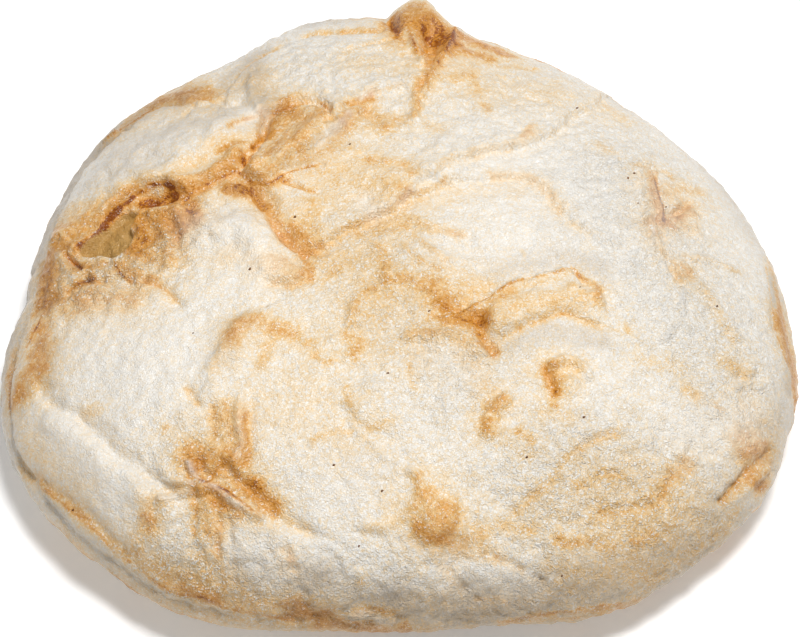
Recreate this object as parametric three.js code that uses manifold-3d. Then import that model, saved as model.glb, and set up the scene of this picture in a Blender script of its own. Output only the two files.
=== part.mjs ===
import * as THREE from "three";
import { mergeVertices } from "three/addons/utils/BufferGeometryUtils.js";
import Module from "manifold-3d";

// A round puffed flatbread lying on its underside. Millimetres, +Z up.
// The origin is at the middle of the footprint; the knob pinched in the rim is at the +Y edge.
// Plan positions below are measured from the middle of the dome.

// Heights of the loaf: the top of the dome and the widest level of the rim.
const DOME_HEIGHT = 44;
const RIM_HEIGHT = 13;
// The dome is flatter than an ellipse across its top and rounds over to the rim.
const DOME_FLATNESS = 2.8;
const DOME_ROUNDING = 2.0;
// The underside is flat over this share of its radius and curls up to the rim.
const FOOT_SHARE = 0.5;
const UNDERSIDE_FLATNESS = 2.4;
const UNDERSIDE_ROUNDING = 2.0;
// Outline radii of the rim, one every 15 degrees anticlockwise from +X.
const RIM_RADII = [
  101, 98, 96, 94, 95, 98, 103, 105, 101, 102, 102, 99,
  100, 105, 106, 104, 101, 95, 92, 93, 100, 102, 104, 104,
];
// Height of the seam between the top skin and the bottom shell, one every 30 degrees.
const SEAM_HEIGHTS = [23, 20, 19, 19, 29, 27, 27, 20, 18, 18, 18, 19];
// How far the bottom shell is set in from the bulging top skin below the seam, one every 30 degrees.
const SHELL_SETBACKS = [1.6, 0.8, 0.6, 1.2, 3.6, 3.6, 2.6, 2.6, 1.6, 0.8, 0.5, 0.8];
const SEAM_DEPTH = 1.4;
const SEAM_WIDTH = 2.8;
// The shell swells back by a share of its setback over this distance below the seam.
const SHELL_SHOULDER = 5;
const SHELL_SWELL = 0.5;
// The skin at the far edge is pinched into a knob: its centre, half sizes and height.
const KNOB_CENTRE = [5, 95, 24];
const KNOB_HALF = [8.5, 12, 11];
const KNOB_RISE = 7;

// Mesh rings: the top skin, the shell above its widest level, and the shell below it.
const TOP_RINGS = 32;
const RING_CROWDING = 0.3;
const SPOKES_PER_RING = 6;
const SHELL_STEPS_ABOVE = 3;
const SHELL_LEVELS_BELOW = [0.22, 0.45, 0.68, 0.88, 1];
const FOOT_RING_COUNTS = [96, 48, 24];

// Creases, folds and rolls in the skin as paths in plan; rise is negative for a valley.
const FOLDS = {
  upper_left_roll: {
    rise: 3.4,
    width: 5.5,
    path: [[-91, 22], [-83, 25], [-72, 28], [-62, 30], [-51, 31], [-44, 36]],
  },
  amber_hollow: { rise: -2.6, width: 4, path: [[-70, 20], [-60, 20], [-51, 26]] },
  finger_roll: { rise: 1.6, width: 4, path: [[-50, 29], [-46, 35], [-39, 43]] },
  s_crease: { rise: -3.0, width: 3.6, path: [[-42, 22], [-35, 15], [-30, 4], [-23, -4]] },
  second_ridge: { rise: 1.4, width: 4.5, path: [[23, 24], [36, 22], [42, 13], [47, 8]] },
  right_slit: { rise: -2.6, width: 3.4, path: [[65, 31], [67, 23], [67, 14]] },
  right_crease: { rise: -1.6, width: 3.6, path: [[63, 12], [65, 1], [69, -7]] },
  right_arc: { rise: 1.2, width: 4, path: [[70, 1], [77, 4], [86, 2]] },
  branching_valley: { rise: -2.6, width: 4.4, path: [[7, -14], [16, -21], [21, -30]] },
  left_arc: { rise: 1.6, width: 4, path: [[-46, -35], [-41, -26], [-35, -20]] },
  stretched_band: { rise: -2.8, width: 3.8, path: [[-41, -61], [-33, -67], [-26, -74], [-19, -76]] },
  upright_ridge: { rise: 1.6, width: 3.4, path: [[-38, -44], [-38, -60]] },
  lower_left_fold: {
    rise: -2.4,
    width: 4,
    path: [[-85, -37], [-76, -45], [-70, -53], [-62, -60], [-53, -68]],
  },
  lower_left_roll: { rise: 1.4, width: 5, path: [[-84, -46], [-76, -54], [-67, -62], [-58, -69]] },
  knob_ridge: { rise: 1.8, width: 3.6, path: [[5, 84], [7, 70], [5, 50]] },
  knot_ray_near: { rise: -1.6, width: 2.6, path: [[-47, -66], [-44, -80]] },
  knot_ray_far: { rise: -1.4, width: 2.6, path: [[-47, -64], [-45, -47]] },
  knot_ray_left: { rise: -1.4, width: 2.6, path: [[-49, -65], [-62, -69]] },
};
// Where one sheet of skin overlaps the next: the left side of the path stands this much higher.
const STEPS = {
  long_crease: {
    rise: 2.6,
    width: 3.2,
    fade: 16,
    path: [[-19, 4], [-8, 10], [1, 17], [11, 24], [28, 36], [39, 44], [53, 63]],
  },
  flap_edge: { rise: 1.6, width: 3.0, fade: 9, path: [[52, -18], [34, -7], [24, -9], [16, -18]] },
};
// Domes blown up in the skin, as ellipses in plan: centre, half sizes and turn in degrees.
const BLISTERS = {
  shell_blister: { rise: 4.6, centre: [-25, 38], half: [20, 9.5], turn: 44 },
  pale_lobe: { rise: 2.2, centre: [-45, 8], half: [14, 10], turn: -20 },
  far_left_lobe: { rise: 2.4, centre: [-70, 42], half: [20, 13], turn: 35 },
  centre_flap: { rise: 2.2, centre: [34, -16], half: [18, 8.5], turn: 5 },
  curl: { rise: 1.6, centre: [39, -38], half: [7, 6], turn: 0 },
  round_blister: { rise: 2.6, centre: [8, -73], half: [8.5, 8], turn: 0 },
  right_patch: { rise: 1.4, centre: [84, -48], half: [8, 6], turn: 40 },
  knot_button: { rise: 2.2, centre: [-47, -65], half: [3.4, 3.4], turn: 0 },
  knot_hollow: { rise: -2.4, centre: [-47, -65], half: [10, 10], turn: 0 },
  near_tuck_left: { rise: -2.2, centre: [-22, -89], half: [6, 5], turn: 0 },
  near_tuck: { rise: -1.8, centre: [-6, -90], half: [7, 4], turn: 0 },
};
// Folds die out at their ends and at the seam; a blister has a flat crown and a steep shoulder.
const FOLD_END = 0.04;
const SEAM_FADE = [-1.5, 3];
const BLISTER_SHOULDER = 1.5;
// Long low waves left in the dome by the escaping steam.
const WAVE_HEIGHT = 0.7;
const WAVE_LENGTHS = [37, 29];

// The torn pocket under the upper-left roll: its centre, half sizes and turns.
const TEAR_CENTRE = [-75, 12.5, 35.5];
const TEAR_HALF = [11, 6.5, 6];
const TEAR_TURN = Math.PI * 0.23;
const TEAR_TILT = Math.PI * 0.12;
const TEAR_SEGMENTS = [16, 10];

const CRUST_COLOUR = "#e6d5b8";
const CRUST_ROUGHNESS = 0.85;

const { lerp, clamp, smoothstep } = THREE.MathUtils;

const outline = new THREE.CatmullRomCurve3(
  RIM_RADII.map((radius, index) => {
    const angle = (2 * Math.PI * index) / RIM_RADII.length;
    return new THREE.Vector3(radius * Math.cos(angle), radius * Math.sin(angle), 0);
  }),
  true,
  "catmullrom",
  0.5,
);

// A value given all round the rim, read at turn share u with a smooth blend between entries.
function around(values, u) {
  const place = u * values.length;
  const index = Math.floor(place) % values.length;
  const blend = smoothstep(place - Math.floor(place), 0, 1);
  return lerp(values[index], values[(index + 1) % values.length], blend);
}

// Points of the bare loaf: on the dome at a height share, and on the underside at a depth share.
function domeShare(heightShare) {
  return Math.pow(1 - Math.pow(heightShare, DOME_ROUNDING), 1 / DOME_FLATNESS);
}

function domePoint(share, u) {
  const height = Math.pow(Math.max(0, 1 - Math.pow(share, DOME_FLATNESS)), 1 / DOME_ROUNDING);
  return outline.getPoint(u).multiplyScalar(share).setZ(lerp(RIM_HEIGHT, DOME_HEIGHT, height));
}

function undersidePoint(depthShare, u) {
  const curl = Math.pow(1 - Math.pow(depthShare, UNDERSIDE_ROUNDING), 1 / UNDERSIDE_FLATNESS);
  return outline.getPoint(u).multiplyScalar(lerp(FOOT_SHARE, 1, curl)).setZ(RIM_HEIGHT * (1 - depthShare));
}

function seamHeightShare(u) {
  return (around(SEAM_HEIGHTS, u) - RIM_HEIGHT) / (DOME_HEIGHT - RIM_HEIGHT);
}

function seamShare(u) {
  return domeShare(seamHeightShare(u));
}

// The distance from a plan point to a path, with the side it lies on and how far along it is.
function nearest(path, x, y) {
  const best = { distance: Infinity, side: 0, share: 0 };
  path.slice(1).forEach((end, index) => {
    const start = path[index];
    const run = [end[0] - start[0], end[1] - start[1]];
    const offset = [x - start[0], y - start[1]];
    const along = clamp((offset[0] * run[0] + offset[1] * run[1]) / (run[0] ** 2 + run[1] ** 2), 0, 1);
    const distance = Math.hypot(offset[0] - along * run[0], offset[1] - along * run[1]);
    if (distance < best.distance) {
      best.distance = distance;
      best.side = Math.sign(run[0] * offset[1] - run[1] * offset[0]);
      best.share = (index + along) / (path.length - 1);
    }
  });
  return best;
}

function taper(share) {
  return Math.sqrt(Math.sin(Math.PI * clamp(share, FOLD_END, 1 - FOLD_END)));
}

// How far the skin of the dome rises above the bare loaf at a plan point.
function relief(x, y) {
  const [long, short] = WAVE_LENGTHS;
  let rise = WAVE_HEIGHT * Math.sin(x / long + y / short) * Math.cos(y / long);
  for (const fold of Object.values(FOLDS)) {
    const near = nearest(fold.path, x, y);
    rise += fold.rise * taper(near.share) * Math.exp(-((near.distance / fold.width) ** 2));
  }
  for (const step of Object.values(STEPS)) {
    const near = nearest(step.path, x, y);
    const edge = Math.tanh((near.side * near.distance) / step.width);
    rise += 0.5 * step.rise * taper(near.share) * edge * Math.exp(-near.distance / step.fade);
  }
  for (const blister of Object.values(BLISTERS)) {
    const turn = THREE.MathUtils.degToRad(blister.turn);
    const offset = new THREE.Vector2(x - blister.centre[0], y - blister.centre[1]);
    offset.rotateAround(new THREE.Vector2(), -turn);
    const reach = (offset.x / blister.half[0]) ** 2 + (offset.y / blister.half[1]) ** 2;
    rise += blister.rise * Math.exp(-(reach ** BLISTER_SHOULDER));
  }
  return rise;
}

// One ring of the skin after another, from the crown out to the seam, round the rim and under to the foot.
const points = [];
const rises = [];
const rings = [];

function addRing(count, pointAt, riseAt) {
  const ring = [];
  for (let index = 0; index < count; index += 1) {
    const u = index / count;
    const point = pointAt(u);
    ring.push(points.length);
    points.push(point);
    rises.push(riseAt(point, u));
  }
  rings.push(ring);
}

const rimCount = TOP_RINGS * SPOKES_PER_RING;
const groove = (distance) => -SEAM_DEPTH * Math.exp(-((distance / SEAM_WIDTH) ** 2));

// One inside the knob, falling to nothing round it.
function knobShare(point) {
  const offset = point.clone().sub(new THREE.Vector3(...KNOB_CENTRE));
  return Math.exp(-offset.divide(new THREE.Vector3(...KNOB_HALF)).lengthSq());
}

function topRise(point, u) {
  const distance = point.distanceTo(domePoint(seamShare(u), u));
  const knob = knobShare(point);
  const skin = relief(point.x, point.y) * smoothstep(distance, ...SEAM_FADE);
  return skin + groove(distance) * (1 - knob) + KNOB_RISE * knob;
}

function shellRise(point, u) {
  const distance = point.distanceTo(domePoint(seamShare(u), u));
  const knob = knobShare(point);
  const setback = around(SHELL_SETBACKS, u) * (1 - SHELL_SWELL * smoothstep(distance, 0, SHELL_SHOULDER));
  const shell = (groove(distance) - setback) * smoothstep(point.z, 0, RIM_HEIGHT);
  return shell * (1 - knob) + KNOB_RISE * knob;
}

addRing(1, (u) => domePoint(0, u), topRise);
for (let ring = 1; ring <= TOP_RINGS; ring += 1) {
  const even = ring / TOP_RINGS;
  const share = lerp(even, Math.sin(0.5 * Math.PI * even), RING_CROWDING);
  addRing(ring * SPOKES_PER_RING, (u) => domePoint(share * seamShare(u), u), topRise);
}
for (let step = 1; step <= SHELL_STEPS_ABOVE; step += 1) {
  const left = 1 - step / SHELL_STEPS_ABOVE;
  addRing(rimCount, (u) => domePoint(domeShare(seamHeightShare(u) * left), u), shellRise);
}
for (const level of SHELL_LEVELS_BELOW) {
  addRing(rimCount, (u) => undersidePoint(level, u), shellRise);
}
FOOT_RING_COUNTS.forEach((count, index) => {
  const share = FOOT_SHARE * (1 - (index + 1) / (FOOT_RING_COUNTS.length + 1));
  addRing(count, (u) => outline.getPoint(u).multiplyScalar(share), () => 0);
});
addRing(1, () => new THREE.Vector3(), () => 0);

// Fills the band between an inner and an outer ring, always taking the vertex that lags behind.
function stitch(inner, outer) {
  const triangles = [];
  const innerSteps = inner.length === 1 ? 0 : inner.length;
  const outerSteps = outer.length === 1 ? 0 : outer.length;
  let a = 0;
  let b = 0;
  while (a < innerSteps || b < outerSteps) {
    const innerNext = innerSteps ? (a + 1) / innerSteps : Infinity;
    const outerNext = outerSteps ? (b + 1) / outerSteps : Infinity;
    const from = inner[a % inner.length];
    const to = outer[b % outer.length];
    if (b < outerSteps && (a >= innerSteps || outerNext <= innerNext)) {
      b += 1;
      triangles.push(from, to, outer[b % outer.length]);
    } else {
      a += 1;
      triangles.push(from, to, inner[a % inner.length]);
    }
  }
  return triangles;
}

const triangles = rings.slice(1).flatMap((ring, index) => stitch(rings[index], ring));

// The folds push the bare skin out along its own normals.
const bare = new THREE.BufferGeometry();
bare.setAttribute("position", new THREE.Float32BufferAttribute(points.flatMap((p) => [p.x, p.y, p.z]), 3));
bare.setIndex(triangles);
bare.computeVertexNormals();
const position = bare.getAttribute("position");
const normal = bare.getAttribute("normal");
for (let index = 0; index < position.count; index += 1) {
  const push = new THREE.Vector3().fromBufferAttribute(normal, index).multiplyScalar(rises[index]);
  const point = points[index].clone().add(push);
  position.setXYZ(index, point.x, point.y, Math.max(0, point.z));
}

// The tear is cut out of the finished skin as a pocket that runs in under the roll.
const wasm = await Module();
wasm.setup();

function solidOf(geometry) {
  const vertProperties = new Float32Array(geometry.getAttribute("position").array);
  const triVerts = new Uint32Array(geometry.getIndex().array);
  return new wasm.Manifold(new wasm.Mesh({ numProp: 3, vertProperties, triVerts }));
}

const ball = new THREE.SphereGeometry(1, ...TEAR_SEGMENTS);
ball.deleteAttribute("normal");
ball.deleteAttribute("uv");
const pocket = mergeVertices(ball);
pocket.scale(...TEAR_HALF);
pocket.rotateX(TEAR_TILT);
pocket.rotateZ(TEAR_TURN);
pocket.translate(...TEAR_CENTRE);

const torn = solidOf(bare).subtract(solidOf(pocket)).getMesh();
const geometry = new THREE.BufferGeometry();
geometry.setAttribute("position", new THREE.Float32BufferAttribute(torn.vertProperties, 3));
geometry.setIndex(new THREE.Uint32BufferAttribute(torn.triVerts, 1));

const crust = new THREE.MeshStandardMaterial({
  color: CRUST_COLOUR,
  roughness: CRUST_ROUGHNESS,
  metalness: 0,
});
const bread = new THREE.Mesh(geometry, crust);
bread.name = "flatbread";
const footprint = new THREE.Box3().setFromBufferAttribute(geometry.getAttribute("position"));
const middle = footprint.getCenter(new THREE.Vector3());
bread.position.set(-middle.x, -middle.y, 0);

const part = new THREE.Group();
part.add(bread);

export default part;
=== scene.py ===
import math

import bpy
import numpy as np
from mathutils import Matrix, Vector, noise
from mathutils.bvhtree import BVHTree


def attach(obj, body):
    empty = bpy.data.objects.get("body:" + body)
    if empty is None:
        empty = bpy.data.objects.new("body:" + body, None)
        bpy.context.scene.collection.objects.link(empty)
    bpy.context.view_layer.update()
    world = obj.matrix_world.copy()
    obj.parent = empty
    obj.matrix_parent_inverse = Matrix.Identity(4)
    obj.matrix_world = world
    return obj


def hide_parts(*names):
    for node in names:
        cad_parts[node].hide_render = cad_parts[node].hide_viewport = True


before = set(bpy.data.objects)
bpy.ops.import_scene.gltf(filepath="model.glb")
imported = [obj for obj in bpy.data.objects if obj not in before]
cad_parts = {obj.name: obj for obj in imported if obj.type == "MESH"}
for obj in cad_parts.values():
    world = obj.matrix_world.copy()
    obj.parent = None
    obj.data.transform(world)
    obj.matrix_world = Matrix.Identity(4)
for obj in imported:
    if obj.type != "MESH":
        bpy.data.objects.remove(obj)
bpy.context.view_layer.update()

# The viewpoint: a long lens looking down on the loaf from its near side.
# Lengths are in millimetres from the middle of the dome, and pixels are those of an 800 x 637 picture.
PICTURE_WIDTH, PICTURE_HEIGHT = 800, 637
VIEW_ELEVATION = math.radians(52)
VIEW_DISTANCE = 720.0
VIEW_HEIGHT = 16.0
MM_PER_PIXEL = 0.2567
MM_PER_METRE = 1000
SENSOR_WIDTH = 36.0
DOME_MIDDLE = np.array([-0.213, -6.264, 0.0])

focal_pixels = VIEW_DISTANCE / MM_PER_PIXEL
view_right = np.array([1.0, 0.0, 0.0])
view_up = np.array([0.0, math.sin(VIEW_ELEVATION), math.cos(VIEW_ELEVATION)])
view_ahead = np.array([0.0, math.cos(VIEW_ELEVATION), -math.sin(VIEW_ELEVATION)])
eye = np.array([0.0, 0.0, VIEW_HEIGHT]) - VIEW_DISTANCE * view_ahead

camera = bpy.data.objects.new("camera", bpy.data.cameras.new("camera"))
camera.data.sensor_fit = "HORIZONTAL"
camera.data.sensor_width = SENSOR_WIDTH
camera.data.lens = SENSOR_WIDTH * focal_pixels / PICTURE_WIDTH
camera.location = Vector((eye + DOME_MIDDLE) / MM_PER_METRE)
camera.rotation_euler = (math.pi / 2 - VIEW_ELEVATION, 0, 0)
bpy.context.scene.collection.objects.link(camera)
bpy.context.scene.camera = camera


# The loaf: one puffed piece of flatbread dough, baked so hot that its top skin blew up and sank into folds.
# The top skin meets the thicker bottom shell at a seam round the rim, pinched into a knob at the far edge.
# It is all one crust: floury and cream where it rose last, toasted on the folds and blisters.
DOME_HEIGHT, RIM_HEIGHT = 44.0, 13.0
DOME_FLATNESS, DOME_ROUNDING = 2.8, 2.0
FOOT_SHARE = 0.5
UNDERSIDE_FLATNESS, UNDERSIDE_ROUNDING = 2.4, 2.0
RIM_RADII = [
    101, 98, 96, 94, 95, 98, 103, 105, 101, 102, 102, 99,
    100, 105, 106, 104, 101, 95, 92, 93, 100, 102, 104, 104,
]
SEAM_HEIGHTS = [23, 20, 19, 19, 29, 27, 27, 20, 18, 18, 18, 19]
SHELL_SETBACKS = [1.6, 0.8, 0.6, 1.2, 3.6, 3.2, 2.0, 1.6, 1.0, 0.8, 0.2, 0.2]
SEAM_DEPTH, SEAM_WIDTH, SEAM_WAVER = 0.25, 1.5, 0.8
SEAM_START, SEAM_ROUNDING, DEEP_SETBACK = -1.0, 2.5, 1.8
SHELL_SHOULDER, SHELL_SWELL = 5.0, 0.5
KNOB_CENTRE, KNOB_HALF, KNOB_RISE = (5, 95, 24), (8.5, 12, 11), 7.0
TOP_RINGS, SPOKES_PER_RING, RING_CROWDING = 160, 6, 0.3
SHELL_STEPS_ABOVE, SHELL_STEPS_BELOW = 8, 9
FOOT_RING_COUNTS = [444, 222, 96, 24]


def smooth(value, low, high):
    share = np.clip((value - low) / (high - low), 0, 1)
    return share * share * (3 - 2 * share)


def bend(a, b, c, d, t):
    # The point a share t of the way from b to c, on a Catmull-Rom curve through four points.
    return 0.5 * (2 * b + (c - a) * t + (2 * a - 5 * b + 4 * c - d) * t**2 + (3 * b - a - 3 * c + d) * t**3)


def rim_point(u):
    # The outline is a closed curve through the radii, which are spaced evenly round the loaf.
    angles = 2 * np.pi * np.arange(len(RIM_RADII)) / len(RIM_RADII)
    posts = np.array(RIM_RADII)[:, None] * np.stack([np.cos(angles), np.sin(angles)], 1)
    index = np.floor(u * len(posts)).astype(int)
    t = (u * len(posts) - index)[:, None]
    return bend(*(posts[(index + step) % len(posts)] for step in (-1, 0, 1, 2)), t)


def around(values, u):
    # Values spaced evenly round the loaf, blended from each to the next.
    index = np.floor(u * len(values)).astype(int)
    blend = smooth(u * len(values) - index, 0, 1)
    values = np.array(values, float)
    return values[index % len(values)] * (1 - blend) + values[(index + 1) % len(values)] * blend


def dome_point(share, u):
    share = np.broadcast_to(share, u.shape)
    height = np.maximum(0, 1 - share**DOME_FLATNESS) ** (1 / DOME_ROUNDING)
    return np.column_stack([rim_point(u) * share[:, None], RIM_HEIGHT + (DOME_HEIGHT - RIM_HEIGHT) * height])


def underside_point(depth, u):
    curl = (1 - depth**UNDERSIDE_ROUNDING) ** (1 / UNDERSIDE_FLATNESS)
    share = FOOT_SHARE + (1 - FOOT_SHARE) * curl
    return np.column_stack([rim_point(u) * share, np.full(len(u), RIM_HEIGHT * (1 - depth))])


def seam_height(u):
    return (around(SEAM_HEIGHTS, u) - RIM_HEIGHT) / (DOME_HEIGHT - RIM_HEIGHT)


def dome_share(height):
    return (1 - height**DOME_ROUNDING) ** (1 / DOME_FLATNESS)


def spokes(count):
    return np.arange(count) / count


# Rings of the bare skin, from the crown out to the seam, round the rim and under to the middle of the foot.
rings = [(np.array([[0.0, 0.0, DOME_HEIGHT]]), spokes(1))]
for ring in range(1, TOP_RINGS + 1):
    even = ring / TOP_RINGS
    share = even + RING_CROWDING * (math.sin(0.5 * math.pi * even) - even)
    u = spokes(ring * SPOKES_PER_RING)
    rings.append((dome_point(share * dome_share(seam_height(u)), u), u))
for step in range(1, SHELL_STEPS_ABOVE + 1):
    rings.append((dome_point(dome_share(seam_height(u) * (1 - step / SHELL_STEPS_ABOVE)), u), u))
for step in range(1, SHELL_STEPS_BELOW + 1):
    rings.append((underside_point(math.sin(0.5 * math.pi * step / SHELL_STEPS_BELOW), u), u))
for index, count in enumerate(FOOT_RING_COUNTS, 1):
    share = FOOT_SHARE * (1 - index / (len(FOOT_RING_COUNTS) + 1))
    u = spokes(count)
    rings.append((np.column_stack([rim_point(u) * share, np.zeros(count)]), u))
rings.append((np.zeros((1, 3)), spokes(1)))

bare = np.concatenate([points for points, _ in rings])
turn = np.concatenate([u for _, u in rings])
counts = [len(u) for _, u in rings]
starts = np.cumsum([0] + counts)
on_top = np.arange(len(bare)) < starts[TOP_RINGS + 1]


def stitch(first, second, first_count, second_count):
    # Fills the band between two rings, always taking the vertex that lags behind.
    faces = []
    a = b = 0
    a_end = first_count if first_count > 1 else 0
    b_end = second_count if second_count > 1 else 0
    while a < a_end or b < b_end:
        here, there = first + a % first_count, second + b % second_count
        if b < b_end and (a >= a_end or (b + 1) * a_end <= (a + 1) * b_end):
            b += 1
            faces.append((here, there, second + b % second_count))
        else:
            a += 1
            faces.append((here, there, first + a % first_count))
    return faces


faces = []
for index in range(len(rings) - 1):
    faces += stitch(starts[index], starts[index + 1], counts[index], counts[index + 1])
faces = np.array(faces)

corners = bare[faces]
face_normals = np.cross(corners[:, 1] - corners[:, 0], corners[:, 2] - corners[:, 0])
normals = np.zeros_like(bare)
for corner in range(3):
    np.add.at(normals, faces[:, corner], face_normals)
normals /= np.linalg.norm(normals, axis=1, keepdims=True)

# Folds, toasting, flour, and the painted shade and painted highlights are strokes along paths that are drawn
# in the picture.
CURVE_STEPS, DOT_LENGTH, SHORTEST_RUN = 4, 0.5, 1e-9
SEARCH_DEPTHS = VIEW_DISTANCE + np.arange(-90, 91, 10)
STROKE_REACH = 4.5


def rounded(path):
    # A smooth open curve through the points of a path. A path of one point becomes a dot.
    posts = np.array(path, float)
    if len(posts) == 1:
        posts = np.concatenate([posts, posts + DOT_LENGTH])
    posts = np.concatenate([2 * posts[:1] - posts[1:2], posts, 2 * posts[-1:] - posts[-2:-1]])
    curve = []
    for span in zip(posts[:-3], posts[1:-2], posts[2:-1], posts[3:]):
        curve += [bend(*span, step / CURVE_STEPS) for step in range(CURVE_STEPS)]
    return np.array(curve + [posts[-2]])


def sight(x, y):
    # The direction from the eye through a pixel of the picture.
    across, up = x - PICTURE_WIDTH / 2, PICTURE_HEIGHT / 2 - y
    return view_ahead + (across * view_right + up * view_up) / focal_pixels


def lay(path, skin, tree):
    # Lays a path on the skin as it stands now, and gives its place on the bare skin.
    # Where the path runs off the outline, it takes the nearest skin.
    points = []
    for x, y in rounded(path):
        ray = sight(x, y)
        spot, _, face, _ = tree.ray_cast(Vector(eye), Vector(ray))
        if spot is None:
            found = [tree.find_nearest(Vector(eye + depth * ray)) for depth in SEARCH_DEPTHS]
            spot, _, face, _ = min(found, key=lambda place: place[3])
        a, b, c = skin[faces[face]]
        edges = np.stack([b - a, c - a], 1)
        shares = np.linalg.lstsq(edges, np.array(spot) - a, rcond=None)[0]
        first, second, third = bare[faces[face]]
        points.append(first + shares[0] * (second - first) + shares[1] * (third - first))
    return np.array(points)


def stroke(path, width, surface, places):
    # Which points a stroke reaches, how many widths they lie from its path, and how far to the left of it.
    # The width may be a pair, for the left and the right of the path.
    points = lay(path, *surface)
    left, right = np.broadcast_to(width, 2)
    reach = STROKE_REACH * max(left, right)
    inside = (places > points.min(0) - reach) & (places < points.max(0) + reach)
    near = np.nonzero(np.all(inside, axis=1))[0]
    best = np.full(len(near), np.inf)
    side = np.zeros(len(near))
    for start, end in zip(points[:-1], points[1:]):
        run = end - start
        along = np.clip((places[near] - start) @ run / max(run @ run, SHORTEST_RUN), 0, 1)
        offset = places[near] - start - along[:, None] * run
        distance = np.linalg.norm(offset, axis=1)
        closer = distance < best
        best[closer] = distance[closer]
        side[closer] = np.einsum("ij,ij->i", np.cross(run, offset), normals[near])[closer]
    return near, best / np.where(side > 0, left, right), np.where(side > 0, best, -best)


def folded_skin(rise):
    # The skin raised along its normals but not below the table, with the tree that paths are laid by.
    skin = bare + rise[:, None] * normals
    skin[:, 2] = np.maximum(skin[:, 2], 0)
    return skin, BVHTree.FromPolygons(skin.tolist(), faces.tolist())


# The noise has a fixed seed, so that each run gives the same loaf.
NOISE_SEED, SEED_STEPS = 4, (17.3, 5.1, 9.7)
BUMP_FALLOFF, BUMP_STEP = 0.9, 2.0
RIDGE_FALLOFF, RIDGE_STEP, RIDGE_OCTAVES, RIDGE_OFFSET, RIDGE_GAIN = 1.0, 2.2, 3, 1.0, 2.0
noise.seed_set(NOISE_SEED)


def bumps(size, seed, octaves=3):
    # Uneven swellings of about a given size in millimetres, from -1 to 1.
    shift = Vector([seed * step for step in SEED_STEPS])
    return np.array([noise.fractal(Vector(p) / size + shift, BUMP_FALLOFF, BUMP_STEP, octaves) for p in bare])


def ridges(size):
    # Sharp wrinkles about a given size in millimetres apart, above and below 0.
    shape = RIDGE_FALLOFF, RIDGE_STEP, RIDGE_OCTAVES, RIDGE_OFFSET, RIDGE_GAIN
    return np.array([noise.ridged_multi_fractal(Vector(p) / size, *shape) for p in bare]) - 1


def shaken(shifts):
    # The points of the bare skin, each moved a little, so that what is drawn on them has an uneven edge.
    # A shift is a length and the size of its waves, in millimetres.
    moved = []
    for p in bare:
        moved.append(sum((far * noise.noise_vector(Vector(p) / size) for far, size in shifts), Vector()))
    return bare + np.array(moved)


# Paths that more than one table uses, in pixels.
TEAR_SLOT = [(68, 258), (75, 265), (82, 269)]
BLISTER_CRACK = [(283, 183), (300, 189), (318, 193)]
CURL_SLIT = [(545, 366), (549, 378), (555, 392)]
UPPER_RAY = [(190, 459), (192, 468), (198, 477)]
MIDDLE_RAY = [(166, 479), (180, 481), (192, 483)]
LOWER_RAY = [(158, 497), (172, 496), (188, 491)]
SHEET_EDGE = [(338, 105), (360, 98), (378, 91), (398, 84)]
FAR_EDGE = [(236, 78), (248, 66), (262, 57), (276, 50)]
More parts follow.
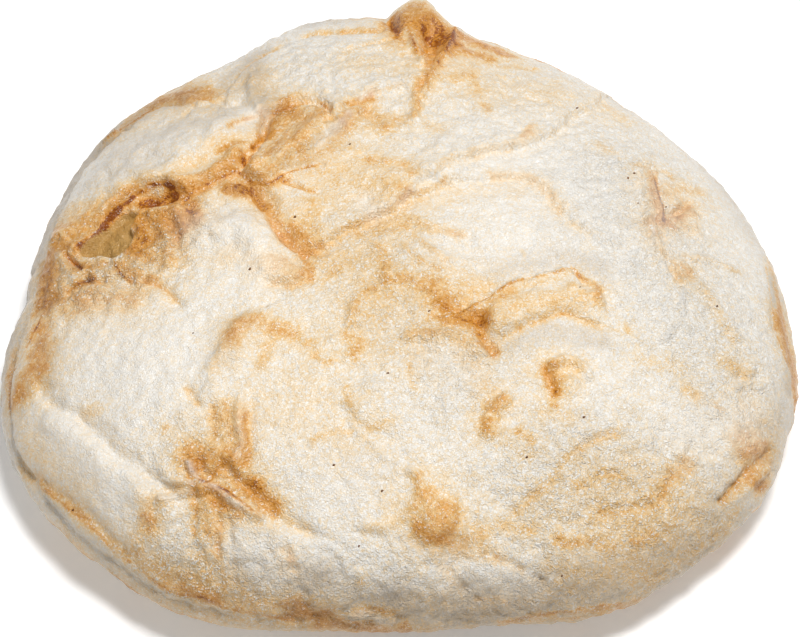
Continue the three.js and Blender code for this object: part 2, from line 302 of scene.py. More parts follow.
# Folds of the skin: rise, width or left and right widths in millimetres, sharpness, path in pixels.
FOLDS = [
    # the pale lobe at the upper left, the roll along its edge and the hollow under the roll
    (1.6, (11, 10), 2, [(95, 178), (150, 152), (205, 130)]),
    (1.1, (5.0, 1.3), 2, [(64, 234), (80, 227), (100, 216), (122, 199), (148, 184), (170, 181)]),
    (-1.2, (1.6, 1.9), 2, [(152, 202), (165, 201), (180, 197)]),
    (0.8, (1.0, 1.6), 2, [(148, 211), (165, 211), (185, 204)]),
    (1.5, (2.4, 2.2), 2, [(178, 186), (205, 175), (222, 164), (240, 148)]),
    (-1.0, (0.8, 1.3), 2, [(182, 206), (196, 192), (215, 182), (232, 173), (241, 171)]),
    (0.8, 1.2, 2, [(136, 215), (140, 232)]),
    (0.6, 1.2, 2, [(158, 214), (166, 240), (168, 262)]),
    (0.6, 1.2, 2, [(176, 212), (184, 236)]),
    (-0.7, (0.8, 1.6), 2, [(127, 281), (150, 284), (168, 292), (180, 306)]),
    (-0.7, (0.7, 1.6), 2, [(67, 296), (73, 289), (82, 283), (97, 279)]),
    (-1.4, (0.6, 0.7), 2, TEAR_SLOT),
    (0.9, 0.8, 2, [(88, 273), (93, 277)]),
    (0.5, 1.2, 2, [(58, 256), (66, 270), (74, 280)]),
    (0.8, (3.0, 0.8), 2, [(248, 78), (250, 92), (256, 108)]),
    (-0.6, (1.0, 1.6), 2, [(122, 131), (150, 114), (180, 105), (215, 103), (240, 100)]),
    # the long blister
    (2.4, (5.6, 5.0), 2, [(258, 168), (282, 152), (310, 132), (340, 115)]),
    (-1.8, (1.0, 1.5), 2, [
        (243, 160), (250, 150), (262, 138), (267, 124), (273, 113), (287, 106), (302, 100), (318, 102),
        (330, 108),
    ]),
    (-0.5, (0.8, 1.4), 2, [
        (240, 175), (250, 181), (262, 184), (272, 182), (283, 175), (297, 170), (320, 164),
    ]),
    (-0.6, (0.6, 0.8), 2, BLISTER_CRACK),
    # the curved crease beside the white lobe and the tongue at its end
    (-1.5, (3.4, 1.0), 2, [
        (236, 184), (250, 191), (262, 205), (268, 220), (278, 238), (292, 250), (307, 259),
    ]),
    (1.7, (5.5, 6.0), 2, [(212, 226), (240, 222), (255, 236)]),
    (0.9, 3.2, 2, [(270, 262), (288, 268), (300, 272)]),
    (-0.8, (1.5, 0.9), 2, [(268, 284), (288, 291), (310, 282)]),
    # the pinched knob with its pouch, and the creases of the far edge
    (1.1, 0.9, 2, [(407, 27), (412, 38), (416, 50), (421, 62)]),
    (1.3, 0.9, 2, [(455, 27), (451, 40), (444, 53), (437, 64), (428, 85), (422, 95)]),
    (-2.0, 2.4, 2, [(432, 34), (430, 46), (429, 58)]),
    (-1.8, 1.2, 2, [(391, 20), (396, 35)]),
    (-0.7, (0.9, 1.2), 2, [(300, 38), (330, 33), (365, 31), (386, 30)]),
    (-0.5, 0.8, 2, [(345, 50), (370, 44), (395, 39)]),
    (0.8, 1.6, 2, [(414, 75), (415, 95), (417, 115)]),
    # the slit near the right edge and the creases below it
    (-1.2, 1.3, 2, [(668, 218), (680, 214), (690, 204)]),
    (0.9, (1.2, 1.0), 2, [(648, 185), (650, 215), (657, 240), (661, 256)]),
    (-0.8, (1.3, 0.8), 2, [(680, 283), (672, 270), (665, 257)]),
    (1.0, 0.6, 2, [(683, 286), (684, 305), (680, 320), (668, 335), (660, 341)]),
    (0.6, 1.4, 2, [(680, 262), (700, 257), (720, 263), (738, 272)]),
    (0.5, (1.2, 1.0), 2, [(700, 285), (715, 300), (730, 325), (745, 345)]),
    (-0.5, 0.7, 2, [(633, 163), (655, 169), (672, 178)]),
    # the flap right of the middle and the branching valley beside it
    (1.4, (4.0, 4.5), 3, [(500, 312), (535, 298), (568, 290), (590, 297)]),
    (-0.5, (0.7, 1.4), 2, [
        (500, 339), (520, 328), (540, 321), (562, 314), (580, 319), (600, 324), (620, 331),
    ]),
    (-0.9, (3.2, 2.6), 2, [(443, 305), (462, 315), (480, 320)]),
    (-1.1, 1.5, 2, [(478, 322), (484, 338), (494, 356)]),
    (0.9, 1.2, 2, [(405, 338), (430, 332), (452, 330), (468, 338), (485, 355)]),
    (0.6, 1.2, 2, [(585, 277), (596, 285), (602, 298)]),
    # mottled middle: low ridges and a faint round bubble
    (0.7, 1.2, 2, [(372, 285), (354, 302), (347, 325)]),
    (0.6, 1.0, 2, [(332, 338), (350, 342), (345, 358)]),
    (0.5, 1.0, 2, [(378, 245), (386, 262), (384, 280)]),
    (0.5, 1.2, 2, [(400, 232), (420, 240), (445, 256), (470, 262)]),
    (0.5, 1.0, 2, [(402, 245), (425, 262), (445, 268)]),
    (0.8, 6.0, 4, [(372, 398), (380, 402)]),
    (0.3, 0.6, 2, [(352, 425), (362, 433), (372, 442), (382, 456)]),
    # the arc left of the middle
    (1.0, (2.0, 5.0), 2, [(210, 372), (218, 357), (228, 340), (240, 322), (255, 313)]),
    # the curl and the patch next to it
    (-0.8, 1.1, 2, CURL_SLIT),
    (1.0, (1.0, 1.3), 2, [(552, 362), (565, 357), (580, 363), (590, 377)]),
    (0.9, 2.4, 2, [(567, 380)]),
    (1.0, 1.7, 3, [(489, 430), (497, 410), (509, 394)]),
    # the round blister near the front
    (1.5, 5.2, 3, [(430, 508), (438, 515)]),
    (-0.3, (1.6, 0.8), 2, [(404, 531), (420, 545), (438, 549), (454, 541), (462, 522)]),
    (0.7, 1.6, 2, [(412, 468), (420, 482), (426, 496)]),
    (0.5, 1.4, 2, [(366, 527), (395, 522)]),
    # the knot where the skin is drawn together, with the folds that run out from it
    (-0.3, 5.5, 2, [(204, 480)]),
    (-1.0, 1.3, 2, [(201, 463), (204, 478)]),
    (1.2, 0.8, 2, UPPER_RAY),
    (1.0, 1.0, 2, MIDDLE_RAY),
    (1.0, 1.2, 2, LOWER_RAY),
    (1.2, 1.2, 3, [(200, 489)]),
    (1.2, (0.8, 1.2), 2, [(202, 481), (216, 488), (232, 497), (248, 507), (264, 516)]),
    (-0.9, (2.2, 1.6), 2, [(228, 474), (250, 490), (270, 508), (290, 524), (310, 536)]),
    (0.9, (1.8, 1.5), 2, [(242, 395), (240, 415), (241, 436), (238, 456)]),
    (-0.7, 1.3, 2, [(248, 400), (250, 432), (248, 463)]),
    (-0.5, 1.4, 2, [(213, 408), (212, 428), (217, 441)]),
    (0.9, 1.0, 2, [(224, 456), (232, 462), (240, 470)]),
    (-0.7, 1.0, 2, [(197, 492), (194, 508), (196, 522), (194, 536)]),
    (0.8, 1.2, 2, [(208, 500), (210, 520), (210, 540), (213, 554)]),
    (-0.8, 1.0, 2, [(218, 498), (218, 515), (221, 530), (219, 548)]),
    (-0.6, 0.9, 2, [(228, 520), (231, 552), (233, 580)]),
    (-0.6, 1.0, 2, [(190, 391), (197, 404)]),
    # the fold and the roll at the lower left
    (-1.0, (2.8, 1.1), 2, [
        (42, 396), (62, 413), (80, 421), (100, 441), (120, 459), (140, 471), (160, 486), (173, 498),
    ]),
    (0.9, (3.0, 4.5), 2, [(50, 420), (80, 440), (105, 465), (140, 490), (165, 508)]),
    (-0.6, (2.5, 1.5), 2, [(20, 462), (45, 486), (75, 507), (100, 528), (130, 556)]),
    # the patch at the right edge and the creases of the lower right
    (1.0, 4.0, 2, [(735, 438), (752, 450)]),
    (-0.9, (1.4, 1.0), 2, [(721, 500), (735, 483), (750, 466), (768, 451)]),
    (0.8, 1.2, 2, [(738, 498), (752, 482), (768, 470)]),
    (-0.6, (1.2, 0.9), 2, [
        (515, 510), (530, 500), (545, 486), (560, 470), (572, 456), (590, 444), (615, 433),
    ]),
    (-0.5, 1.0, 2, [(580, 487), (600, 477), (615, 473)]),
    (-0.5, 1.2, 2, [(600, 515), (640, 508), (662, 498), (678, 470), (690, 448)]),
    (0.7, 0.9, 2, [(736, 386), (750, 380)]),
    (0.7, 0.9, 2, [(748, 372), (756, 366)]),
    (0.7, 0.9, 2, [(758, 388), (774, 379)]),
    # where the far and left edges draw in beside the knob and the pale lobe
    (-1.9, 2.6, 2, [(440, 8), (445, 18)]),
    (-1.5, 2.6, 2, [(388, 8), (384, 22)]),
    (-0.9, 6.0, 2, [(66, 186), (76, 170), (90, 152)]),
    (-0.8, 5.0, 2, [(38, 260), (27, 285), (20, 308)]),
    # tucks and short ridges of the near edge
    (-0.4, (2.6, 2.4), 2, [(292, 615), (310, 611), (326, 615)]),
    (-0.3, (2.0, 1.8), 2, [(354, 611), (378, 609), (400, 614)]),
    (1.2, (1.0, 0.9), 2, [(350, 617), (370, 617), (392, 620)]),
    (0.4, 0.9, 2, [(328, 545), (340, 558), (348, 575)]),
    (-0.3, 0.9, 2, [(280, 552), (290, 560), (295, 572)]),
    (-0.3, 0.9, 2, [(298, 580), (308, 595)]),
    (-0.4, 1.0, 2, [(446, 560), (452, 574), (466, 590)]),
    (-0.3, 1.0, 2, [(498, 557), (520, 570), (545, 579)]),
    (-0.25, 0.9, 2, [(478, 596), (500, 599), (525, 601)]),
]
# Overlapping sheets, higher on the left of the path: rise, edge and fade in millimetres, path in pixels.
OVERLAPS = [
    # the long crease and the ridge that runs on from it
    (2.0, 0.7, 7.0, [
        (330, 238), (345, 228), (362, 222), (380, 214), (392, 205), (402, 196), (420, 191), (432, 187),
        (445, 180),
    ]),
    (1.2, 0.9, 6.0, [
        (450, 179), (480, 178), (500, 175), (515, 177), (545, 186), (553, 197), (562, 210), (590, 232),
    ]),
    (2.2, 0.7, 5.0, [
        (425, 178), (440, 168), (460, 158), (485, 150), (515, 146), (540, 138), (560, 124), (580, 112),
        (600, 100),
    ]),
    # the right edge of the long blister and the sheet beyond it
    (1.6, 0.5, 4.0, [(284, 166), (300, 155), (316, 146), (328, 140), (340, 131), (350, 122), (358, 112)]),
    (1.8, 0.7, 6.0, SHEET_EDGE),
    # the lip of the roll over the tear
    (1.7, 0.5, 4.0, [
        (77, 248), (90, 238), (103, 226), (117, 213), (132, 199), (152, 186), (165, 185), (175, 190),
    ]),
    # the far edge that shows past the pale lobe at the upper left
    (1.2, 0.6, 4.0, [(222, 102), (200, 103), (180, 105), (150, 114), (122, 131), (106, 142)]),
    (1.2, 0.6, 4.0, [(276, 50), (262, 57), (248, 66), (236, 78), (224, 98)]),
    # thin edges beside the tear, above the toasted roll, on the flap and at the slit
    (1.5, 0.6, 4.0, [(112, 256), (117, 268), (124, 277), (133, 283)]),
    (1.3, 0.6, 4.0, [(228, 128), (238, 122), (250, 118), (266, 114)]),
    (1.6, 0.5, 5.0, [
        (578, 276), (568, 267), (550, 272), (530, 277), (512, 281), (500, 288), (485, 298), (470, 306),
    ]),
    (1.3, 0.5, 4.0, [(665, 222), (663, 212), (660, 198), (656, 184), (653, 178)]),
]
FOLD_STRENGTH, OVERLAP_STRENGTH, FOLD_UNSTEADINESS, FOLD_PASSES = 1.6, 0.7, 0.45, 2
FOLD_SHIFTS = [(0.9, 7), (0.4, 2.5)]
# The tear under the roll, which bares the inner skin: sizes in millimetres, outline in pixels.
TEAR_DEPTH, TEAR_EDGE, TEAR_REACH = 2.2, (-0.2, 0.6), 3.0
TEAR_OUTLINE = [
    (78, 249), (84, 242), (90, 237), (100, 233), (107, 228), (113, 223), (118, 219), (126, 213), (137, 212),
    (134, 219), (130, 227), (133, 235), (128, 245), (120, 253), (113, 257), (100, 255), (88, 257),
    (80, 254),
]
# Crinkled parts of the skin: share of rougher grain and of wrinkles, width in millimetres, path in pixels.
CRINKLED = [
    (0.2, 0.7, 22, [(330, 70), (430, 120), (540, 110)]),
    (0.7, 0.6, 20, [(620, 180), (690, 290), (730, 400)]),
    (0.8, 0.8, 20, [(560, 480), (630, 490), (700, 530)]),
    (0.8, 0.9, 12, [(180, 560), (300, 590), (440, 590), (560, 585)]),
    (0.5, 0.6, 18, [(380, 250), (400, 300), (460, 370)]),
    (0.8, 1.2, 11, [(80, 280), (130, 260), (170, 230)]),
    (0.5, 0.5, 14, [(200, 470), (230, 500)]),
]
EVEN_GRAIN, EVEN_WRINKLES = 0.45, 0.55
HIDDEN_GRAIN, HIDDEN_WRINKLES = 0.45, 0.6
TURNING_AWAY, TURNED_AWAY = (-0.12, 0.1), (0.1, 0.4)
SWELL_RISE, LUMP_RISE, PIMPLE_RISE, WRINKLE_RISE, PUCKER_RISE = 0.8, 0.45, 0.5, 0.35, 0.26
FOOT_FADE = (0.2, 6)

seam = dome_point(dome_share(seam_height(turn)), turn)
seam_distance = np.linalg.norm(bare - seam, axis=1)
knob = np.exp(-(((bare - KNOB_CENTRE) / KNOB_HALF) ** 2).sum(1))
setback = around(SHELL_SETBACKS, turn)
groove = -SEAM_DEPTH * np.clip(setback / DEEP_SETBACK, 0, 1)
groove *= 1 + SEAM_WAVER * bumps(size=30, seed=4, octaves=1)
groove *= np.exp(-((seam_distance / SEAM_WIDTH) ** 2))
setback *= smooth(seam_distance, SEAM_START, SEAM_ROUNDING)
setback *= 1 - SHELL_SWELL * smooth(seam_distance, 0, SHELL_SHOULDER)
shell = np.where(on_top, groove, (groove - setback) * smooth(bare[:, 2], 0, RIM_HEIGHT))

surface = folded_skin(np.zeros(len(bare)))
grain_share, wrinkle_share = np.zeros(len(bare)), np.zeros(len(bare))
for grain, wrinkle, width, path in CRINKLED:
    near, widths, _ = stroke(path, width, surface, bare)
    share = np.exp(-(widths**2))
    grain_share[near] = np.maximum(grain_share[near], grain * share)
    wrinkle_share[near] = np.maximum(wrinkle_share[near], wrinkle * share)
# The side that is turned away from the picture has grain and wrinkles of its own.
sight_lines = bare - eye
facing = -np.einsum("ij,ij->i", sight_lines, normals) / np.linalg.norm(sight_lines, axis=1)
hidden = smooth(-facing, *TURNING_AWAY)
grain_share = EVEN_GRAIN + np.maximum(grain_share, HIDDEN_GRAIN * hidden)
wrinkle_share = EVEN_WRINKLES + np.maximum(wrinkle_share, HIDDEN_WRINKLES * smooth(-facing, *TURNED_AWAY))

fine_rise = LUMP_RISE * bumps(size=7, seed=2) + PIMPLE_RISE * bumps(size=2.6, seed=3, octaves=2)
fine_rise = fine_rise + WRINKLE_RISE * ridges(size=13) + PUCKER_RISE * ridges(size=5)
skin_bumps = SWELL_RISE * bumps(size=22, seed=1) + wrinkle_share * fine_rise
base_rise = shell * (1 - knob) + KNOB_RISE * knob + smooth(bare[:, 2], *FOOT_FADE) * skin_bumps

# The folds are laid twice, so that those on raised skin end up where they are seen.
uneven = shaken(FOLD_SHIFTS)
unsteady = 1 + FOLD_UNSTEADINESS * bumps(size=7, seed=5, octaves=2)
surface = folded_skin(base_rise)
for _ in range(FOLD_PASSES):
    rise = base_rise.copy()
    for height, width, sharp, path in FOLDS:
        near, widths, _ = stroke(path, width, surface, uneven)
        rise[near] += FOLD_STRENGTH * height * np.exp(-(widths**sharp)) * unsteady[near]
    for height, edge, fade, path in OVERLAPS:
        near, widths, offset = stroke(path, fade, surface, uneven)
        rise[near] += OVERLAP_STRENGTH * height * np.exp(-widths) * np.tanh(offset / edge) * unsteady[near]
    near, _, offset = stroke(TEAR_OUTLINE + TEAR_OUTLINE[:1], TEAR_REACH, surface, bare)
    tear = np.full(len(bare), -TEAR_REACH)
    tear[near] = np.clip(-offset, -TEAR_REACH, TEAR_REACH)
    surface = folded_skin(rise)
surface = folded_skin(rise - TEAR_DEPTH * smooth(tear, *TEAR_EDGE))

# Toasting, with some strokes of painted shade on shadowed flanks and bands: strength, width or left and right
# widths in millimetres, sharpness, path in pixels.
TOAST_AND_SHADE = [
    # knob, its pouch and flanks
    (0.46, 5.0, 3, [(400, 16), (413, 9), (427, 13)]),
    (0.54, 3.2, 2, [(404, 25), (420, 21), (438, 26)]),
    (0.8, 1.5, 2, [(391, 20), (395, 29), (396, 38)]),
    (0.76, 3.8, 3, [(422, 31), (436, 35), (449, 38)]),
    (0.3, 3.0, 2, [(384, 24), (390, 34), (400, 42)]),
    (0.58, 3.6, 3, [(424, 43), (436, 46), (450, 45)]),
    (0.58, 3.2, 2, [(424, 53), (437, 57)]),
    (0.48, 1.0, 2, [(455, 29), (451, 40), (445, 51), (438, 63)]),
    (0.58, 2.8, 2, [(446, 40), (458, 44)]),
    (0.45, 1.0, 2, [(407, 29), (412, 38), (417, 50)]),
    (0.42, 2.8, 2, [(428, 62), (431, 70), (426, 84)]),
    (0.3, 1.2, 2, [(438, 64), (431, 78), (423, 93)]),
    (0.38, 1.7, 2, [(419, 80), (417, 96), (415, 112)]),
    (0.58, 3.8, 3, [(460, 36), (482, 44), (506, 54)]),
    (0.46, 3.2, 2, [(456, 48), (472, 53), (490, 59)]),
    (0.14, 3.4, 2, [(466, 62), (476, 78), (480, 96)]),
    (0.2, 3.0, 2, [(385, 44), (405, 50)]),
    (0.3, 2.6, 2, [(456, 77), (474, 71)]),
    (0.3, 1.4, 2, [(474, 76), (479, 91)]),
    (0.3, 1.5, 2, [(482, 104), (490, 111)]),
    (0.12, 6.0, 2, [(350, 62), (385, 66), (415, 64)]),
    (0.26, 1.2, 2, [(510, 67), (537, 70)]),
    (0.3, 1.2, 2, [(310, 36), (345, 31), (386, 29)]),
    (0.25, 1.8, 2, [(335, 17), (360, 17), (385, 20)]),
    (0.18, 1.5, 2, [(345, 52), (372, 44), (396, 40)]),
    # the toasted corner at the upper left
    (0.4, (2.6, 3.0), 3, [(56, 238), (85, 229), (110, 213), (140, 195)]),
    (0.4, 3.0, 2, [(54, 230), (75, 221), (95, 212)]),
    (0.2, 3.4, 2, [(62, 216), (110, 198), (150, 180), (185, 168), (205, 160)]),
    (0.4, 2.2, 2, [(90, 236), (108, 226), (118, 219)]),
    (0.32, 2.2, 2, [(118, 218), (132, 208), (146, 199)]),
    (0.8, 0.9, 2, [(101, 227), (108, 221), (117, 216)]),
    (1.0, 1.9, 4, [(147, 206), (160, 205), (174, 201)]),
    (0.6, 2.6, 2, [(172, 203), (190, 203), (196, 220)]),
    (0.62, 1.9, 2, [(182, 195), (197, 188)]),
    (0.62, 3.2, 2, [(138, 216), (141, 230), (138, 248)]),
    (0.58, 4.0, 2, [(152, 213), (172, 213), (186, 216)]),
    (0.46, 3.6, 2, [(160, 230), (176, 230)]),
    (0.42, 2.0, 2, [(190, 208), (188, 222), (180, 236)]),
    (0.5, 2.8, 2, [(136, 252), (146, 258)]),
    (0.34, 3.0, 2, [(62, 286), (66, 304)]),
    (0.45, 3.2, 3, [(184, 184), (205, 176), (222, 166), (238, 151)]),
    (0.34, 2.2, 2, [(204, 189), (224, 180), (240, 178)]),
    (0.55, 1.5, 2, [(221, 152), (232, 144), (242, 141)]),
    (0.2, 3.4, 2, [(215, 146), (236, 140)]),
    (0.34, 6.0, 3, [(160, 226), (168, 240), (168, 254)]),
    (0.55, 2.2, 3, [(130, 250), (145, 242)]),
    (0.46, 2.6, 2, [(142, 236), (144, 246), (140, 256)]),
    (0.36, 5.5, 2, [(60, 302), (100, 302), (130, 298)]),
    (0.3, 5.0, 2, [(70, 268), (105, 282)]),
    (0.45, 2.4, 2, [(120, 264), (135, 275), (156, 283)]),
    (0.22, 1.6, 2, [(150, 284), (166, 291), (174, 300)]),
    (0.68, 5.0, 2, [(47, 262), (46, 282), (44, 302)]),
    (0.46, 1.7, 2, [(69, 292), (80, 286), (93, 283)]),
    (0.55, 3.6, 2, [(56, 250), (72, 244)]),
    (0.46, 2.6, 2, [(82, 264), (105, 264)]),
    (0.76, 2.4, 2, [(228, 186), (241, 188), (253, 195), (263, 206)]),
    (0.15, 1.2, 2, [(230, 126), (248, 120), (264, 116)]),
    # painted shade in the hollow at the upper end of the long blister
    (0.2, 2.2, 2, [(262, 112), (280, 103), (310, 97)]),
    # the long blister, with painted shade on its left flank, in the band above it and right of its edge
    (0.36, (5.4, 4.2), 3, [(260, 164), (284, 147), (306, 127), (323, 116)]),
    (0.4, 3.0, 2, [(272, 136), (282, 122), (298, 112)]),
    (0.36, 3.0, 2, [(266, 152), (284, 136), (302, 122), (318, 112)]),
    (0.6, 2.4, 2, [(268, 137), (273, 125), (282, 114), (294, 108)]),
    (0.72, 1.5, 2, [(245, 165), (248, 157)]),
    (0.5, 1.2, 2, [(248, 152), (257, 144), (265, 136)]),
    (0.34, 1.2, 2, [(298, 110), (313, 106), (326, 110)]),
    (0.12, 2.2, 2, [(284, 102), (302, 97), (318, 97)]),
    (0.3, 2.8, 2, [(288, 124), (300, 118), (312, 113)]),
    (0.3, 1.8, 2, [(290, 142), (304, 138)]),
    (0.38, 1.8, 2, [(252, 174), (266, 175)]),
    (0.32, 1.7, 2, [(264, 169), (276, 166)]),
    (0.5, 1.2, 2, [(350, 104), (362, 101), (372, 97)]),
    (0.4, 1.4, 2, [(361, 106), (362, 117)]),
    (0.28, 1.8, 2, [(364, 118), (384, 118), (396, 120)]),
    (0.36, 3.0, 2, [(344, 120), (355, 113)]),
    (0.28, 2.4, 2, [(304, 160), (322, 151), (342, 136), (352, 124)]),
    (0.42, 1.0, 2, [(282, 182), (297, 188), (312, 191)]),
    (0.42, 2.0, 2, [(274, 184), (288, 181)]),
    (0.3, 2.2, 2, [(250, 186), (266, 190)]),
    # the sheet right of the blister
    (0.15, 9.0, 2, [(345, 178), (385, 172)]),
    (0.14, 7.0, 2, [(320, 203), (350, 198), (385, 190)]),
    (0.3, 3.6, 2, [(366, 112), (378, 126), (398, 122)]),
    (0.18, 8.0, 2, [(325, 170), (355, 160)]),
    (0.24, 4.5, 2, [(312, 205), (313, 240)]),
    (0.22, 6.0, 2, [(335, 262), (360, 262), (378, 248)]),
    (0.34, 2.6, 2, [(372, 160), (392, 162), (412, 172)]),
    (0.34, 2.4, 2, [(392, 185), (405, 188)]),
    (0.2, 2.2, 2, [(430, 125), (440, 130)]),
    # the curved crease and the tongue below it
    (0.5, (3.4, 1.2), 2, [
        (240, 187), (251, 192), (263, 206), (268, 220), (278, 238), (292, 250), (305, 257),
    ]),
    (0.1, 4.6, 3, [(280, 202), (296, 222)]),
    (0.46, 4.2, 2, [(295, 230), (306, 242), (312, 254)]),
    (0.26, 4.0, 2, [(345, 238), (370, 230), (398, 222)]),
    (0.5, 2.0, 2, [(309, 260), (308, 276)]),
    (0.3, 4.2, 3, [(276, 264), (292, 274)]),
    (0.3, 1.4, 2, [(272, 283), (290, 288), (306, 282)]),
    (0.15, 5.0, 2, [(225, 255), (265, 258)]),
    # the long crease, the second ridge and the far half
    (0.2, (1.2, 3.0), 2, [
        (330, 238), (345, 229), (362, 223), (380, 216), (392, 207), (402, 198), (420, 192), (445, 182),
    ]),
    (0.17, (2.2, 1.2), 2, [(440, 167), (460, 157), (485, 149), (515, 145)]),
    (0.07, 2.0, 2, [(540, 137), (560, 124), (580, 112), (600, 100)]),
    (0.34, 1.5, 2, [(524, 138), (534, 126)]),
    (0.27, 1.8, 2, [(496, 175), (516, 177), (532, 182)]),
    (0.25, (1.6, 2.0), 2, [(540, 185), (552, 197), (562, 211)]),
    (0.1, 2.2, 2, [(552, 206), (560, 212)]),
    (0.14, 1.2, 2, [(572, 222), (590, 230)]),
    (0.09, 4.5, 2, [(420, 205), (470, 192), (520, 190)]),
    (0.2, 1.6, 2, [(598, 145), (612, 152)]),
    (0.14, 4.0, 2, [(605, 105), (622, 118)]),
    # slit near the right edge
    (0.5, (0.8, 3.6), 3, [(656, 181), (658, 194), (661, 206), (664, 221)]),
    (0.4, 1.0, 2, [(655, 182), (659, 196), (663, 212)]),
    (0.42, 2.4, 2, [(652, 218), (656, 233)]),
    (0.3, 1.8, 2, [(658, 238), (663, 254)]),
    (0.52, 1.8, 2, [(669, 221), (680, 215), (690, 207)]),
    (0.4, 1.8, 2, [(682, 218), (694, 214)]),
    (0.46, 2.0, 2, [(665, 224), (674, 227)]),
    (0.24, 4.8, 3, [(668, 192), (682, 206), (686, 224)]),
    (0.24, 1.8, 2, [(672, 188), (700, 192)]),
    (0.26, 1.0, 2, [(632, 164), (645, 168), (657, 172), (668, 173), (674, 180)]),
    (0.38, 2.6, 2, [(676, 266), (686, 274)]),
    (0.42, 0.9, 2, [(676, 281), (680, 282)]),
    (0.18, 1.2, 2, [(684, 258), (700, 257), (720, 262), (738, 272)]),
    (0.14, 2.4, 2, [(702, 285), (715, 305), (732, 340)]),
    # flap and branching valley
    (0.22, 4.2, 3, [(498, 310), (535, 300), (568, 293), (590, 297)]),
    (0.4, 2.4, 2, [(490, 302), (508, 290)]),
    (0.3, 3.0, 2, [(462, 293), (484, 289)]),
    (0.2, 1.8, 2, [(508, 290), (535, 281), (565, 274), (585, 278)]),
    (0.44, 1.6, 2, [(584, 278), (596, 286), (600, 298)]),
    (0.24, 1.6, 2, [(503, 338), (522, 327), (542, 320), (562, 314), (580, 318), (600, 324)]),
    (0.42, 1.3, 2, [(630, 331)]),
    (0.46, 2.2, 3, [(444, 300), (452, 308), (456, 314)]),
    (0.62, 3.2, 2, [(452, 318), (464, 320), (478, 322)]),
    (0.34, 2.2, 2, [(481, 316), (480, 326), (479, 333)]),
    (0.34, 5.0, 2, [(442, 306), (462, 314), (478, 324)]),
    (0.52, 2.1, 3, [(480, 334), (484, 346), (494, 356)]),
    (0.3, 1.8, 2, [(408, 334), (438, 330), (462, 336), (480, 350)]),
    (0.44, 1.6, 2, [(431, 317), (444, 318)]),
    (0.2, 4.0, 2, [(420, 332), (446, 334), (468, 346)]),
    (0.18, 4.0, 2, [(470, 352), (482, 376), (488, 398)]),
    # mottled middle
    (0.2, 11.0, 2, [(370, 300), (400, 285), (440, 290)]),
    (0.12, 11.0, 2, [(330, 340), (390, 345), (430, 350)]),
    (0.34, 2.0, 2, [(380, 246), (386, 262), (385, 282)]),
    (0.4, 2.6, 2, [(386, 280), (405, 278)]),
    (0.42, 3.0, 2, [(420, 284), (440, 288)]),
    (0.34, 1.6, 2, [(372, 288), (356, 302), (348, 320)]),
    (0.32, 2.2, 2, [(345, 336), (360, 345), (352, 356)]),
    (0.3, 1.4, 2, [(308, 340), (318, 356), (330, 362)]),
    (0.28, 2.0, 2, [(340, 268), (325, 278)]),
    (0.26, 1.0, 2, [(400, 228), (420, 240), (445, 258)]),
    (0.24, 1.0, 2, [(402, 244), (425, 262), (446, 268)]),
    (0.3, 1.8, 2, [(414, 222), (438, 226), (458, 236)]),
    (0.3, 1.2, 2, [(408, 364), (414, 386)]),
    (0.26, 1.2, 2, [(346, 386), (351, 408), (362, 422), (376, 427), (392, 420)]),
    (0.26, 0.9, 2, [(312, 440), (322, 436), (350, 432)]),
    # arc left of the middle
    (0.2, (1.8, 3.0), 2, [(214, 366), (222, 350), (230, 337)]),
    (0.44, (2.8, 3.6), 2, [(229, 340), (240, 324), (255, 316)]),
    (0.36, 3.2, 3, [(272, 328), (284, 332)]),
    (0.3, 2.0, 2, [(270, 345), (258, 366)]),
    (0.2, 3.2, 2, [(290, 330), (300, 345)]),
    # curl and patch
    (0.5, 3.0, 2, [(549, 371), (554, 388)]),
    (0.28, 2.0, 2, [(554, 365), (566, 361), (578, 366)]),
    (0.46, 1.3, 2, [(554, 392), (553, 406)]),
    (0.1, 3.4, 2, [(566, 372), (572, 384)]),
    (0.44, (3.2, 2.8), 2, [(489, 427), (495, 412), (504, 398)]),
    (0.12, 4.4, 2, [(510, 434), (526, 450)]),
    (0.18, 3.0, 2, [(545, 415), (568, 418)]),
    (0.34, 1.8, 2, [(520, 432), (532, 440)]),
    # round blister
    (0.42, 6.2, 4, [(432, 508), (440, 514)]),
    (0.5, 2.5, 2, [(418, 528), (430, 537), (446, 537)]),
    (0.28, 2.8, 2, [(428, 536), (450, 540), (482, 532)]),
    (0.34, 2.4, 2, [(415, 476), (424, 494)]),
    (0.13, 2.0, 2, [(366, 528), (385, 523), (404, 518)]),
    (0.26, 2.6, 2, [(452, 545), (475, 552), (496, 556)]),
    (0.1, 4.0, 2, [(400, 508), (406, 516)]),
    # knot and its rays
    (0.34, 4.6, 3, [(229, 414), (232, 432), (228, 450)]),
    (0.36, (5.0, 4.6), 3, [(192, 456), (212, 462), (230, 468)]),
    (0.34, 2.8, 3, [(238, 482), (254, 494), (272, 508)]),
    (0.28, 4.8, 3, [(204, 494), (208, 512), (210, 526)]),
    (0.32, 2.8, 2, [(230, 506), (256, 513)]),
    (0.22, 3.4, 2, [(152, 504), (150, 530)]),
    (0.46, 2.2, 3, [(190, 448), (193, 458), (192, 472)]),
    (0.62, 1.0, 2, [(201, 462), (203, 477)]),
    (0.42, 2.6, 3, [(203, 450), (212, 457)]),
    (0.56, 1.7, 2, [(215, 477), (224, 466), (235, 457)]),
    (0.5, 1.6, 2, [(236, 466), (237, 481)]),
    (0.56, 1.5, 2, [(246, 414), (247, 436), (246, 464)]),
    (0.24, 2.6, 2, [(230, 412), (230, 432), (227, 448)]),
    (0.36, 1.5, 2, [(213, 409), (213, 424), (217, 440)]),
    (0.42, 2.4, 3, [(245, 480), (258, 485)]),
    (0.52, (2.2, 2.0), 3, [(254, 487), (264, 499), (277, 511)]),
    (0.24, 1.4, 2, [(284, 514), (296, 525), (306, 531)]),
    (0.44, 0.9, 2, [(221, 487), (236, 496), (246, 505), (252, 511)]),
